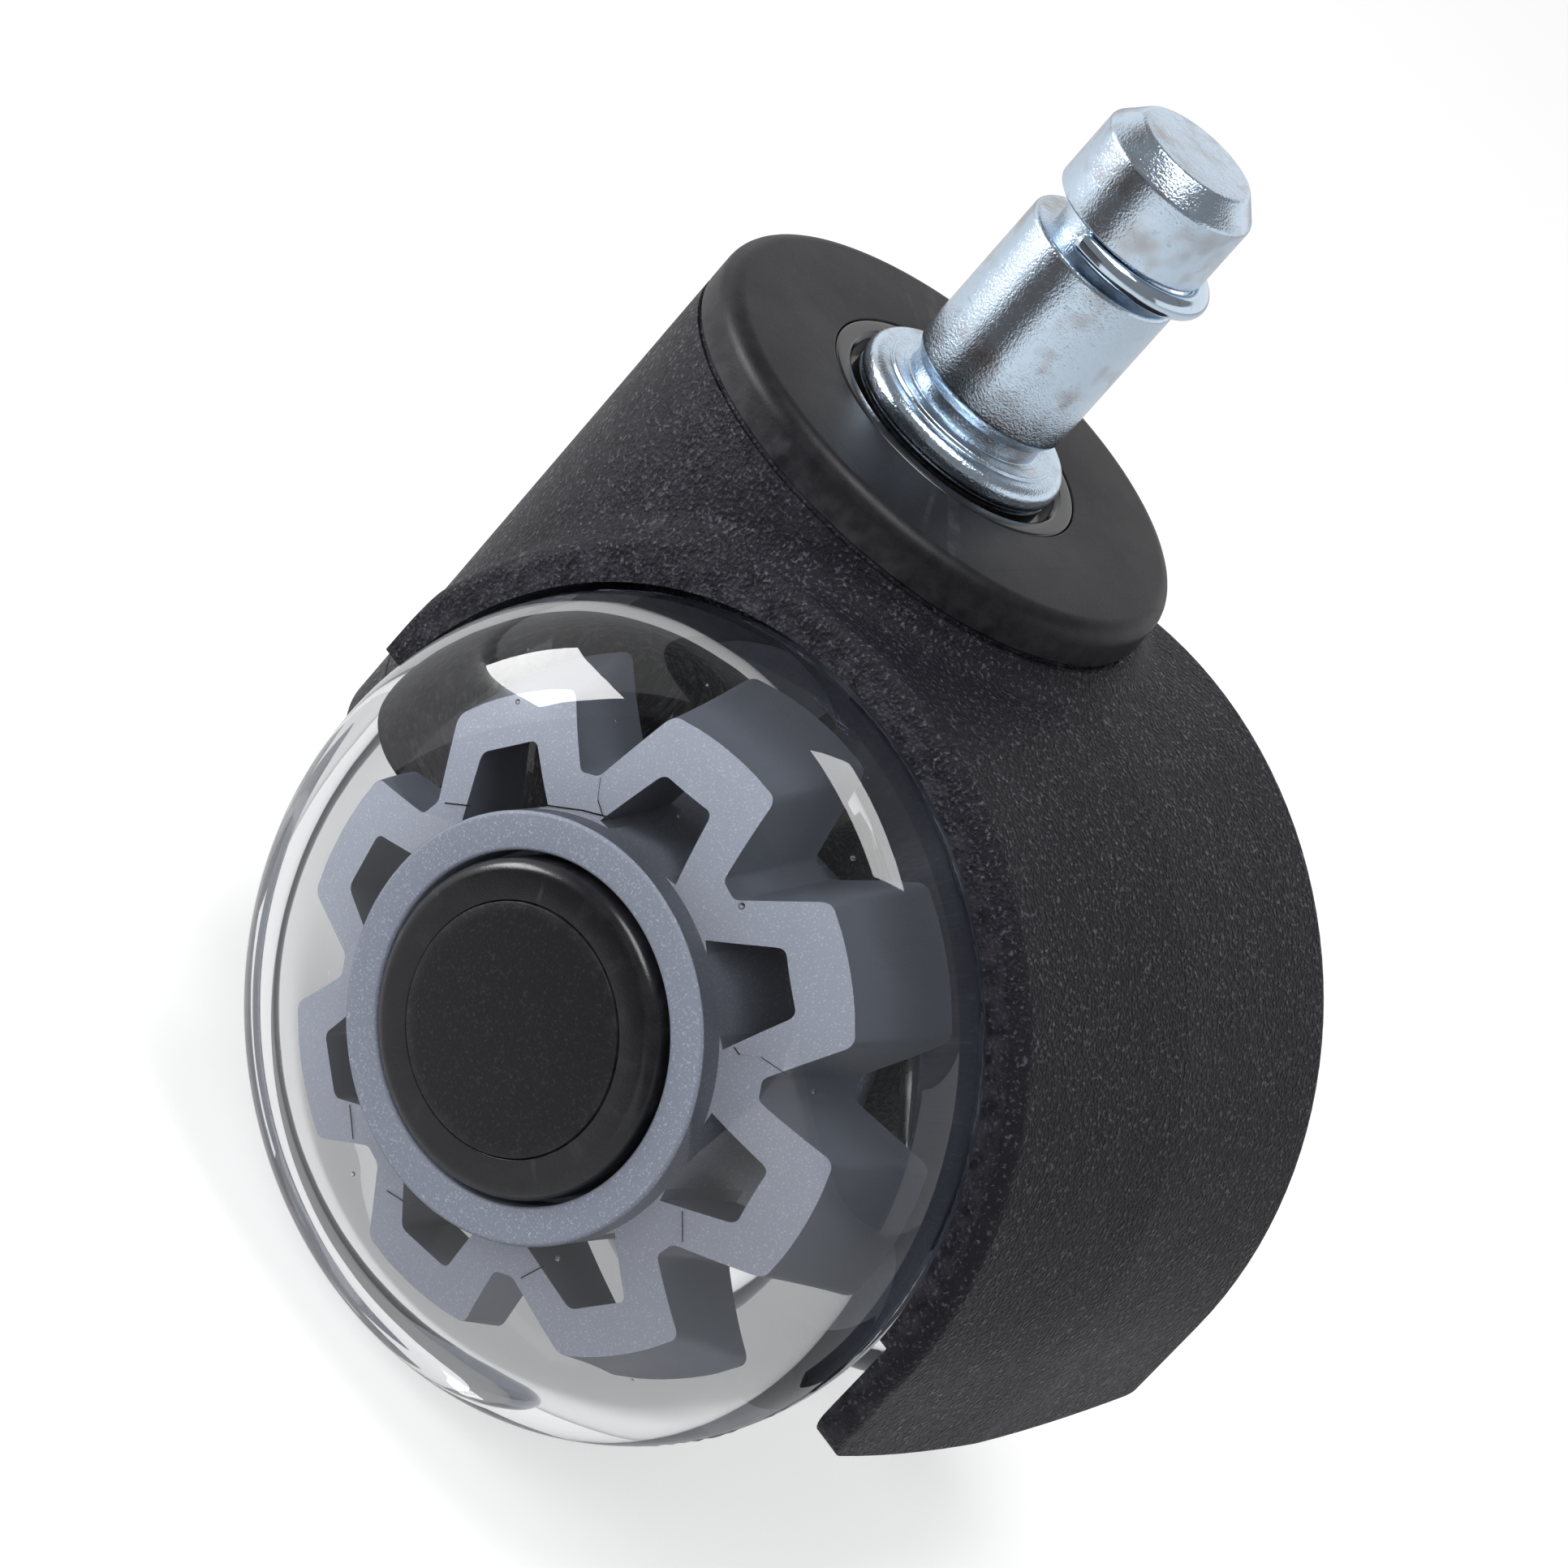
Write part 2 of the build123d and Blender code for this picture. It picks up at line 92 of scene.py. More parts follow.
class CastorSizes(bpy.types.PropertyGroup):
    """Sizes of the finished pieces"""
    stem_r: length_prop("Stem radius", "Radius of the shank and the head", 5.5)
    stem_length: length_prop("Stem length", "From the flange's top to the stem's end", 22)
    flange_r: length_prop("Flange radius", "Radius of the stem's flange", 7.53)
    boss_r: length_prop("Boss radius", "Radius of the boss and its cap", 17.5)
    bush_r: length_prop("Bush radius", "Radius of the bush's rim in the cap", 9.33)
    tread_r: length_prop("Tread radius", "Largest radius of the clear tread", 26.13)
    ring_r: length_prop("Core ring radius", "Outer radius of the core's ring", 13.13)
    cap_r: length_prop("Hub cap radius", "Radius of the hub cap", 10.35)
    disc_r: length_prop("Disc radius", "Radius of the disc in the hub cap", 7.72)
    lobe_tip_r: length_prop("Lobe reach", "Distance of the lobes' ends from the axle", 19.26)
    lobe_count: IntProperty(name="Lobes", description="Lobes on each core", default=8,
                            min=3, max=16)


class CastorFinishes(bpy.types.PropertyGroup):
    """Colours and finishes of the castor"""
    nylon: colour_prop("Housing", "Black of the grained housing", (0.0105, 0.0100, 0.0138))
    cap_black: colour_prop("Boss cap", "Black of the smoother cap", (0.0060, 0.0060, 0.0084))
    bush_black: colour_prop("Bush", "Black of the glossy bush", (0.006, 0.006, 0.0075))
    hub_black: colour_prop("Hub cap", "Black of the hub cap", (0.0065, 0.0065, 0.0085))
    core_grey: colour_prop("Core", "Blue grey of the wheel cores", (0.180, 0.197, 0.246))
    # The lobes are the core's own plastic. lobe_painted_light_grey is painted light: about twice
    # the core grey, standing in for light the tread gathers onto the lobes' faces.
    lobe_painted_light_grey: colour_prop("Lobes", "Blue grey of the slotted lobes", (0.355, 0.382, 0.462))
    # lobe_wall_painted_shade is painted shade for the lobes' side walls, not a colour of their
    # own.
    lobe_wall_painted_shade: colour_prop("Lobe walls", "Darker grey of the lobes' side walls",
                                (0.150, 0.165, 0.205))
    zinc: colour_prop("Zinc", "Bluish silver of the plated stem", (0.60, 0.72, 0.85))
    zinc_tint: colour_prop("Zinc tint", "Sandy tint in the plating", (0.36, 0.31, 0.28))
    tread_tint: colour_prop("Tread", "Tint of light that has crossed the tread",
                            (0.80, 0.85, 0.93))
    tread_density: FloatProperty(name="Tread density", default=10.0, min=0,
                                 description="How fast the tread tints light")
    tread_ior: FloatProperty(name="Tread index", description="Refraction of the tread",
                             default=1.5, min=1, max=2.5)
    grain: length_prop("Grain", "Size of the housing's moulded grain", 0.30)


class CastorStudio(bpy.types.PropertyGroup):
    """Camera, floor and lights"""
    lens: FloatProperty(name="Lens", description="Focal length of the camera", default=164.453,
                        min=1, unit="CAMERA")
    eye: FloatVectorProperty(name="Eye", description="Where the camera stands", size=3,
                             default=(0.164324, -0.378127, 0.165223), subtype="XYZ", unit="LENGTH")
    world_level: FloatProperty(name="Room light", description="Level of light from all round",
                               default=0.25, min=0)
    side_power: power_prop("Side softbox", "Power of the softbox at the left", 3.8)
    top_power: power_prop("Top softbox", "Power of the softbox overhead", 2.1)
    front_power: power_prop("Front fill", "Power of the fill beside the camera", 1.9)
    floor_glow: share_prop("Floor glow", "How far the pale floor is lifted to white", 0.62)
    glass_glow: share_prop("Glow in glass", "The same in gloss and through the treads", 0.26)


def settings():
    """The castor's settings in this scene."""
    return bpy.context.scene.castor


class CastorSettings(bpy.types.PropertyGroup):
    """All settings of the castor"""
    sizes: PointerProperty(type=CastorSizes)
    finishes: PointerProperty(type=CastorFinishes)
    studio: PointerProperty(type=CastorStudio)


# Mesh helpers. Profiles are (radius, height) in millimetres.

def rounded(corners, steps=6):
    """Points of a closed outline whose corners (x, y, radius) are rounded."""
    points = []
    count = len(corners)
    for i, corner in enumerate(corners):
        here = Vector(corner[:2])
        radius = corner[2] if len(corner) > 2 else 0
        if not radius:
            points.append(tuple(here))
            continue
        to_last = (Vector(corners[i - 1][:2]) - here).normalized()
        to_next = (Vector(corners[(i + 1) % count][:2]) - here).normalized()
        half = to_last.angle(to_next) / 2
        back = radius / math.tan(half)
        centre = here + (to_last + to_next).normalized() * (radius / math.sin(half))
        start = here + to_last * back - centre
        turn = start.angle_signed(here + to_next * back - centre)
        for step in range(steps + 1):
            angle = -turn * step / steps
            cos, sin = math.cos(angle), math.sin(angle)
            points.append((centre.x + start.x * cos - start.y * sin,
                           centre.y + start.x * sin + start.y * cos))
    return points


def arc_points(cx, cy, radius, start, end, steps):
    """Points of an arc, with angles in degrees."""
    return [(cx + radius * math.cos(math.radians(start + (end - start) * k / steps)),
             cy + radius * math.sin(math.radians(start + (end - start) * k / steps)))
            for k in range(steps + 1)]


def mesh_object(name, bm):
    """Use up a bmesh in millimetres for a new object in the scene."""
    mesh = bpy.data.meshes.new(name)
    bmesh.ops.scale(bm, vec=(MM, MM, MM), verts=bm.verts)
    bm.to_mesh(mesh)
    bm.free()
    made = bpy.data.objects.new(name, mesh)
    bpy.context.scene.collection.objects.link(made)
    return made


def new_piece(name, bm, body, flat_angle=32.0):
    """Turn a bmesh in millimetres into a piece that rides on a body."""
    piece = mesh_object(name, bm)
    piece.data.shade_smooth()
    piece.data.set_sharp_from_angle(angle=math.radians(flat_angle))
    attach(piece, body)
    return piece


def stage_piece(name, bm, material):
    """Turn a bmesh in millimetres into a piece of the studio."""
    piece = mesh_object(name, bm)
    finish_with(piece, material)
    return piece


def add_sheet(bm, rows):
    """Add faces between rows of points."""
    grid = [[bm.verts.new(point) for point in row] for row in rows]
    for low, high in zip(grid, grid[1:]):
        for k in range(len(low) - 1):
            bm.faces.new((low[k], low[k + 1], high[k + 1], high[k]))


def add_tube(bm, rings):
    """Add a tube through rings of points, closed at both ends."""
    made = [[bm.verts.new(point) for point in ring] for ring in rings]
    for low, high in zip(made, made[1:]):
        for k in range(len(low)):
            n = (k + 1) % len(low)
            bm.faces.new((low[k], low[n], high[n], high[k]))
    bm.faces.new(made[0])
    bm.faces.new(made[-1])


def add_lathe(bm, profile, segments, place=None, closed=True, wobble=None):
    """Add a turned form about Z. Points on the axis close into a pole."""
    rings = []
    for index, (r, h) in enumerate(profile):
        if r < 1e-6:
            rings.append([bm.verts.new((0, 0, h))])
            continue
        ring = []
        for k in range(segments):
            a = 2 * math.pi * k / segments
            rr = r + (wobble(index, k) if wobble else 0)
            ring.append(bm.verts.new((rr * math.cos(a), rr * math.sin(a), h)))
        rings.append(ring)
    made = [v for ring in rings for v in ring]
    faces = []
    pairs = list(zip(rings, rings[1:]))
    if closed:
        pairs.append((rings[-1], rings[0]))
    for low, high in pairs:
        for k in range(segments):
            n = (k + 1) % segments
            a, b = low[k % len(low)], low[n % len(low)]
            c, d = high[n % len(high)], high[k % len(high)]
            corners = []
            for v in (a, b, c, d):
                if v not in corners:
                    corners.append(v)
            if len(corners) > 2:
                faces.append(bm.faces.new(corners))
    bmesh.ops.recalc_face_normals(bm, faces=faces)
    if place is not None:
        bmesh.ops.transform(bm, matrix=place, verts=made)


def on_axle(side):
    """Place of a form turned about Z so that it stands on the axle, its outer face outwards."""
    turn = Matrix.Rotation(math.radians(-90 * side), 4, "X")
    return Matrix.Translation(AXLE / MM) @ turn


def lathe_piece(name, profile, body, segments, place=None, closed=True):
    """A turned piece that rides on a body."""
    bm = bmesh.new()
    add_lathe(bm, profile, segments, place, closed)
    return new_piece(name, bm, body)


def add_prism(bm, outline, holes, low, high, place=None):
    """Add an upright prism with holes between two heights."""
    loops = [outline, *holes]
    flat = [[Vector((x, y, 0)) for x, y in loop] for loop in loops]
    triangles = tessellate_polygon(flat)
    bottom, top = [], []
    for loop in loops:
        bottom.append([bm.verts.new((x, y, low)) for x, y in loop])
        top.append([bm.verts.new((x, y, high)) for x, y in loop])
    low_all = [v for loop in bottom for v in loop]
    high_all = [v for loop in top for v in loop]
    faces = []
    for a, b, c in triangles:
        faces.append(bm.faces.new((low_all[a], low_all[b], low_all[c])))
        faces.append(bm.faces.new((high_all[c], high_all[b], high_all[a])))
    for low_loop, high_loop in zip(bottom, top):
        for k in range(len(low_loop)):
            n = (k + 1) % len(low_loop)
            faces.append(bm.faces.new((low_loop[k], low_loop[n], high_loop[n], high_loop[k])))
    bmesh.ops.recalc_face_normals(bm, faces=faces)
    if place is not None:
        bmesh.ops.transform(bm, matrix=place, verts=low_all + high_all)


def bevel(piece, width, segments):
    """Round the hard edges of a piece by a small width in millimetres."""
    modifier = piece.modifiers.new("edges", "BEVEL")
    modifier.width = width * MM
    modifier.segments = segments
    modifier.limit_method = "ANGLE"
    modifier.angle_limit = math.radians(HARD_EDGE)
    modifier.harden_normals = True


def finish_with(piece, material):
    """Give a piece one material in place of its own."""
    piece.data.materials.clear()
    piece.data.materials.append(material)


# Shader node helpers

def add_node(tree, kind, values=None, **settings_of):
    """A new node, with values for its sockets and settings of its own."""
    node = tree.nodes.new(kind)
    for key, value in settings_of.items():
        setattr(node, key, value)
    for key, value in (values or {}).items():
        node.inputs[key].default_value = value
    return node


def new_group(name, inputs, outputs):
    """A shader node group with named sockets, and its two ends."""
    group = bpy.data.node_groups.new(name, "ShaderNodeTree")
    for label, kind, value in inputs:
        socket = group.interface.new_socket(label, in_out="INPUT", socket_type=kind)
        socket.default_value = value
    for label, kind in outputs:
        group.interface.new_socket(label, in_out="OUTPUT", socket_type=kind)
    return group, group.nodes.new("NodeGroupInput"), group.nodes.new("NodeGroupOutput")


def place_group(tree, group, values):
    """Place a node group in a material, with its values there."""
    node = tree.nodes.new("ShaderNodeGroup")
    node.node_tree = group
    for key, value in values.items():
        node.inputs[key].default_value = value
    return node


def math_node(tree, operation, a, b=None, clamp=False):
    """The result of a sum with plain numbers or sockets."""
    node = tree.nodes.new("ShaderNodeMath")
    node.operation = operation
    node.use_clamp = clamp
    for socket, value in zip(node.inputs, (a, b)):
        if value is None:
            continue
        if isinstance(value, (int, float)):
            socket.default_value = value
        else:
            tree.links.new(value, socket)
    return node.outputs[0]


def ramp(tree, source, low, high, start=0.0, end=1.0):
    """Spread source from low..high to start..end, and clamp it."""
    node = add_node(tree, "ShaderNodeMapRange", {
        "From Min": low, "From Max": high, "To Min": start, "To Max": end})
    tree.links.new(source, node.inputs["Value"])
    return node.outputs["Result"]


def mix_colour(tree, factor, a, b):
    """Mix two colours, each a plain one or a socket, by a socket's factor."""
    node = tree.nodes.new("ShaderNodeMix")
    node.data_type = "RGBA"
    tree.links.new(factor, node.inputs["Factor"])
    for socket, value in ((node.inputs[6], a), (node.inputs[7], b)):
        if isinstance(value, tuple):
            socket.default_value = (*value, 1)
        else:
            tree.links.new(value, socket)
    return node.outputs[2]


FLOAT = "NodeSocketFloat"


def make_grain_group():
    """Moulded grain: fine pebbles with uneven depth, and a mask of flecks where the materials
    paint glints into the colour and lower the roughness.
    """
    group, start, end = new_group(
        "moulded_grain",
        [("Size", FLOAT, 0.3), ("Roundness", FLOAT, 0.6), ("Flecks", FLOAT, 0.5)],
        [("Height", FLOAT), ("Fleck", FLOAT)])
    coords = add_node(group, "ShaderNodeTexCoord")
    scale = math_node(group, "DIVIDE", 1 / MM, start.outputs["Size"])
    pebbles = add_node(group, "ShaderNodeTexVoronoi", feature="F1")
    fine = add_node(group, "ShaderNodeTexNoise", {"Detail": 2.0, "Roughness": 0.6})
    patches = add_node(group, "ShaderNodeTexNoise", {"Scale": 260.0, "Detail": 2.0})
    for texture in (pebbles, fine):
        group.links.new(coords.outputs["Object"], texture.inputs["Vector"])
        group.links.new(scale, texture.inputs["Scale"])
    group.links.new(coords.outputs["Object"], patches.inputs["Vector"])
    bumps = math_node(group, "MULTIPLY", pebbles.outputs["Distance"], start.outputs["Roundness"])
    height = math_node(group, "ADD", bumps, fine.outputs["Fac"])
    uneven = ramp(group, patches.outputs["Fac"], 0.3, 0.7, 0.75, 1.1)
    group.links.new(math_node(group, "MULTIPLY", height, uneven), end.inputs["Height"])
    glint_spots = ramp(group, fine.outputs["Fac"], 0.57, 0.68)
    flecks = math_node(group, "MULTIPLY", glint_spots, start.outputs["Flecks"])
    group.links.new(flecks, end.inputs["Fleck"])
    return group


def make_wear_group():
    """Rubbed edges: where the surface is sharply convex, broken up by noise."""
    group, start, end = new_group(
        "edge_wear", [("Amount", FLOAT, 0.5), ("Breakup", FLOAT, 900.0)], [("Mask", FLOAT)])
    coords = add_node(group, "ShaderNodeTexCoord")
    shape = add_node(group, "ShaderNodeNewGeometry")
    noise = add_node(group, "ShaderNodeTexNoise", {"Detail": 2.0})
    group.links.new(coords.outputs["Object"], noise.inputs["Vector"])
    group.links.new(start.outputs["Breakup"], noise.inputs["Scale"])
    edge = ramp(group, shape.outputs["Pointiness"], 0.505, 0.56)
    broken = math_node(group, "MULTIPLY", edge, ramp(group, noise.outputs["Fac"], 0.35, 0.65))
    worn = math_node(group, "MULTIPLY", broken, start.outputs["Amount"])
    group.links.new(worn, end.inputs["Mask"])
    return group


def make_scuff_group():
    """Sparse fine scratches in crossing directions."""
    group, start, end = new_group(
        "scuffs", [("Amount", FLOAT, 0.3), ("Spacing", FLOAT, 1.2)], [("Mask", FLOAT)])
    coords = add_node(group, "ShaderNodeTexCoord")
    scale = math_node(group, "DIVIDE", 1 / MM, start.outputs["Spacing"])
    marks = None
    for turn, stretch in (((0.3, 0.5, 0.2), (0.05, 1.6, 1.0)),
                          ((1.1, 0.2, 1.4), (1.3, 0.05, 1.0))):
        mapping = add_node(group, "ShaderNodeMapping", {"Rotation": turn, "Scale": stretch})
        noise = add_node(group, "ShaderNodeTexNoise", {"Detail": 1.0, "Distortion": 0.2})
        group.links.new(coords.outputs["Object"], mapping.inputs["Vector"])
        group.links.new(mapping.outputs["Vector"], noise.inputs["Vector"])
        group.links.new(scale, noise.inputs["Scale"])
        line = ramp(group, noise.outputs["Fac"], 0.70, 0.74)
        marks = line if marks is None else math_node(group, "MAXIMUM", marks, line)
    scratched = math_node(group, "MULTIPLY", marks, start.outputs["Amount"])
    group.links.new(scratched, end.inputs["Mask"])
    return group


def make_mottle_group():
    """Slow change of a finish from place to place, as a value about zero."""
    group, start, end = new_group(
        "mottle", [("Size", FLOAT, 6.0), ("Amount", FLOAT, 0.1)], [("Value", FLOAT)])
    coords = add_node(group, "ShaderNodeTexCoord")
    noise = add_node(group, "ShaderNodeTexNoise", {"Detail": 2.0, "Roughness": 0.62})
    group.links.new(coords.outputs["Object"], noise.inputs["Vector"])
    scale = math_node(group, "DIVIDE", 1 / MM, start.outputs["Size"])
    group.links.new(scale, noise.inputs["Scale"])
    centred = math_node(group, "SUBTRACT", noise.outputs["Fac"], 0.5)
    change = math_node(group, "MULTIPLY", centred, start.outputs["Amount"])
    group.links.new(change, end.inputs["Value"])
    return group


GROUPS, FINISHES = {}, {}


def effect(name):
    """The node group of that name, made once."""
    makers = {"grain": make_grain_group, "wear": make_wear_group,
              "scuffs": make_scuff_group, "mottle": make_mottle_group}
    if name not in GROUPS:
        GROUPS[name] = makers[name]()
    return GROUPS[name]


def new_material(name, **sockets):
    """A material with a Principled shader whose plain values are set on its sockets."""
    material = bpy.data.materials.new(name)
    material.use_nodes = True
    shader = material.node_tree.nodes["Principled BSDF"]
    for key, value in sockets.items():
        label = key.replace("_", " ").title().replace("Ior", "IOR")
        shader.inputs[label].default_value = value
    return material, material.node_tree, shader


def add_bump(tree, shader, height, depth):
    """Feed a height map to the shader's normal. Depth is in millimetres."""
    node = add_node(tree, "ShaderNodeBump", {"Strength": 1.0, "Distance": depth * MM})
    tree.links.new(height, node.inputs["Height"])
    tree.links.new(node.outputs["Normal"], shader.inputs["Normal"])


def moulded_plastic(name, colour, roughness, grain, depth, flecks, wear,
                    specular=0.35, mottle=0.08):
    """Moulded plastic: grain, flecks with painted glints and less roughness, rubbed edges and
    uneven gloss.
    """
    material, tree, shader = new_material(name, specular_ior_level=specular)
    texture = place_group(tree, effect("grain"), {"Size": grain, "Flecks": flecks})
    rubbed = place_group(tree, effect("wear"), {"Amount": wear})
    uneven = place_group(tree, effect("mottle"), {"Size": 5.0, "Amount": mottle})
    scratched = place_group(tree, effect("scuffs"), {"Amount": 0.25})
    # light is the paler colour of rubbed edges, and also the painted glint colour that the flecks
    # mix in.
    light = tuple(min(1.0, c * 3.4 + 0.03) for c in colour)
    rubbed_and_glint_colour = mix_colour(tree, rubbed.outputs["Mask"], tuple(colour), light)
    rubbed_and_glint_colour = mix_colour(tree, texture.outputs["Fleck"], rubbed_and_glint_colour, light)
    tree.links.new(rubbed_and_glint_colour, shader.inputs["Base Color"])
    glint = math_node(tree, "MULTIPLY", texture.outputs["Fleck"], 0.25)
    dull = math_node(tree, "MULTIPLY", scratched.outputs["Mask"], 0.12)
    rough = math_node(tree, "ADD", uneven.outputs["Value"], roughness)
    rough = math_node(tree, "SUBTRACT", rough, glint)
    rough = math_node(tree, "ADD", rough, dull, clamp=True)
    tree.links.new(rough, shader.inputs["Roughness"])
    add_bump(tree, shader, texture.outputs["Height"], depth)
    return material


def recolour(tree, shader, mask, colour):
    """Mix a colour over the shader's base colour by a mask."""
    before = shader.inputs["Base Color"].links[0].from_socket
    tree.links.new(mix_colour(tree, mask, before, colour), shader.inputs["Base Color"])


def with_parting_line(material):
    """Add the fine dark line that the mould's halves leave along the hood's middle."""
    tree = material.node_tree
    shader = tree.nodes["Principled BSDF"]
    coords = add_node(tree, "ShaderNodeTexCoord")
    split = add_node(tree, "ShaderNodeSeparateXYZ")
    tree.links.new(coords.outputs["Object"], split.inputs[0])
    away = math_node(tree, "ABSOLUTE", split.outputs["Y"])
    line = ramp(tree, away, 0.05 * MM, 0.11 * MM, 1.0, 0.0)
    behind = math_node(tree, "GREATER_THAN", split.outputs["X"], 17.6 * MM)
    line = math_node(tree, "MULTIPLY", line, behind)
    recolour(tree, shader, line, (0.003, 0.003, 0.004))
    return material


def with_painted_wall_shade(material):
    """Paint shade onto the walls that run along the axle, which little light reaches inside the
    tread.
    """
    tree = material.node_tree
    shader = tree.nodes["Principled BSDF"]
    coords = add_node(tree, "ShaderNodeTexCoord")
    split = add_node(tree, "ShaderNodeSeparateXYZ")
    tree.links.new(coords.outputs["Normal"], split.inputs[0])
    outward = math_node(tree, "ABSOLUTE", split.outputs["Y"])
    # Painted shade: where the normal lies across the axle, on the side walls, the darker grey is
    # mixed in.
    walls = ramp(tree, outward, 0.35, 0.75, 1.0, 0.0)
    recolour(tree, shader, walls, tuple(settings().finishes.lobe_wall_painted_shade))
    return material


def plated_steel(name, colour, tint, roughness, sand, tint_amount):
    """Zinc plating: bluish metal with sandy patches and a fine crystal grain."""
    material, tree, shader = new_material(name, metallic=1.0)
    texture = place_group(tree, effect("grain"), {"Size": 0.16, "Roundness": 0.2, "Flecks": 0.6})
    patches = place_group(tree, effect("mottle"), {"Size": 3.2, "Amount": 2.4})
    uneven = place_group(tree, effect("mottle"), {"Size": 0.5, "Amount": 0.25})
    scratched = place_group(tree, effect("scuffs"), {"Amount": 0.5, "Spacing": 0.6})
    warm = math_node(tree, "MULTIPLY", patches.outputs["Value"], tint_amount, clamp=True)
    base = mix_colour(tree, warm, tuple(colour), tuple(tint))
    dull = tuple(c * 0.72 for c in colour)
    base = mix_colour(tree, scratched.outputs["Mask"], base, dull)
    tree.links.new(base, shader.inputs["Base Color"])
    rough = math_node(tree, "ADD", uneven.outputs["Value"], roughness, clamp=True)
    tree.links.new(rough, shader.inputs["Roughness"])
    add_bump(tree, shader, texture.outputs["Height"], sand)
    return material


def clear_tread():
    """Clear cast tread: it tints light slowly, with faint waves left by the mould."""
    look = settings().finishes
    material, tree, shader = new_material(
        "clear_tread", transmission_weight=1.0, ior=look.tread_ior, roughness=0.0,
        base_color=(1, 1, 1, 1))
    waves = place_group(tree, effect("mottle"), {"Size": 9.0, "Amount": 1.0})
    add_bump(tree, shader, waves.outputs["Value"], 0.02)
    tint = add_node(tree, "ShaderNodeVolumeAbsorption", {
        "Color": (*look.tread_tint, 1), "Density": look.tread_density})
    output = tree.nodes["Material Output"]
    tree.links.new(tint.outputs["Volume"], output.inputs["Volume"])
    return material


def finish(name):
    """The finish of that name, made once."""
    look = settings().finishes

    def nylon(label):
        return moulded_plastic(label, look.nylon, roughness=0.46, grain=look.grain / MM,
                               depth=0.17, flecks=1.0, wear=0.35, specular=0.12)

    def grey(label, colour):
        return moulded_plastic(label, colour, roughness=0.5, grain=0.14, depth=0.012,
                               flecks=0.25, wear=0.0, specular=0.3)

    def steel(label, colour, roughness, sand, tint):
        return plated_steel(label, colour, look.zinc_tint, roughness, sand, tint)

    makers = {
        "nylon": lambda: nylon("black_nylon"),
        "housing": lambda: with_parting_line(nylon("black_housing")),
        "cap": lambda: moulded_plastic(
            "cap_black", look.cap_black, roughness=0.42, grain=0.16, depth=0.008,
            flecks=0.1, wear=0.5, specular=0.25, mottle=0.14),
        "bush": lambda: moulded_plastic(
            "bush_black", look.bush_black, roughness=0.16, grain=0.2, depth=0.002,
            flecks=0.0, wear=0.3, specular=0.5),
        "hub": lambda: moulded_plastic(
            "hub_black", look.hub_black, roughness=0.24, grain=0.14, depth=0.004,
            flecks=0.1, wear=0.5, specular=0.38),
        "disc": lambda: moulded_plastic(
            "disc_black", look.hub_black, roughness=0.44, grain=0.22, depth=0.02,
            flecks=0.3, wear=0.4, specular=0.25),
        "core": lambda: grey("core_grey", look.core_grey),
        # Lobes: the core plastic, painted lighter on the faces, with painted shade on the side
        # walls.
        "lobes": lambda: with_painted_wall_shade(grey("lobe_painted_light_grey", look.lobe_painted_light_grey)),
        "zinc": lambda: steel("zinc_plate", look.zinc, 0.17, 0.03, 1.3),
        "spring": lambda: steel("spring_wire", look.zinc, 0.12, 0.001, 0.2),
        "washer": lambda: steel("plain_steel", (0.5, 0.5, 0.51), 0.3, 0.003, 0.5),
        "tread": clear_tread,
    }
    if name not in FINISHES:
        FINISHES[name] = makers[name]()
    return FINISHES[name]


# Heights and places of the pieces in millimetres, as the solids have them

GROOVE_R, GROOVE_LOW, GROOVE_HIGH = 3.9, 13.15, 15.45
NECK_R, STEP_R, FLANGE_TOP, FLANGE_LOW = 4.95, 6.25, -0.25, -2
JOURNAL_R, JOURNAL_END = 4.5, -28.4
CLIP_GROOVE_R, CLIP_GROOVE_LOW, CLIP_GROOVE_HIGH = 3.6, -26.62, -25.72
BOSS_FACE, BOSS_SEAM = -1.86, -5.02
BUSH_R, BUSH_BORE, BUSH_END, BUSH_SEAT = 6.9, 4.55, -25.62, -2.95
WEB_LOW, WEB_HIGH = -42.5, -38.2
# Along the axle from the middle plane
CORE_BACK, LOBE_BACK, CAP_LEDGE, RING_FACE = 11, 15.0, 25, 28.48
HUB_CAP_INSIDE, DISC_SEAT, HUB_CAP_FACE, DISC_TOP = 27.33, 28.33, 29.43, 29.87
TREAD_BACK, TREAD_WIDE, TREAD_FACE = 11.3, 18.3, 28.3
# The lobes about the axle, with faces that fall outwards as a cone
LOBE_PHASE = 12.1
LOBE_ROOT_R, LOBE_ROOT_HALF, LOBE_TIP_HALF = 14.0, 5.38, 4.0
VALLEY_R, LOBES_BORE = 15.36, 12.2
SLOT_ROOT, SLOT_ROOT_HALF, SLOT_TIP, SLOT_TIP_HALF = 12.9, 3.27, 16.7, 1.98
CONE_R, CONE_FACE, CONE_FALL = 17, 23.03, 0.69
# Air bubbles in the near tread: angle about the axle, distance from it, place along it, radius
BUBBLES = ((141.8, 19.3, 25.3, 0.17), (144.1, 21.7, 22.0, 0.10), (122.8, 18.4, 23.4, 0.10),
           (74.3, 16.3, 25.6, 0.22), (74.0, 22.2, 22.5, 0.20), (84.0, 24.3, 20.5, 0.10),
           (98.6, 16.1, 25.4, 0.09), (-37.2, 13.9, 25.9, 0.20), (36.3, 17.9, 22.9, 0.14),
           (-100.5, 17.6, 22.9, 0.16), (-32.6, 20.6, 21.0, 0.10), (110.6, 22.2, 22.5, 0.12))
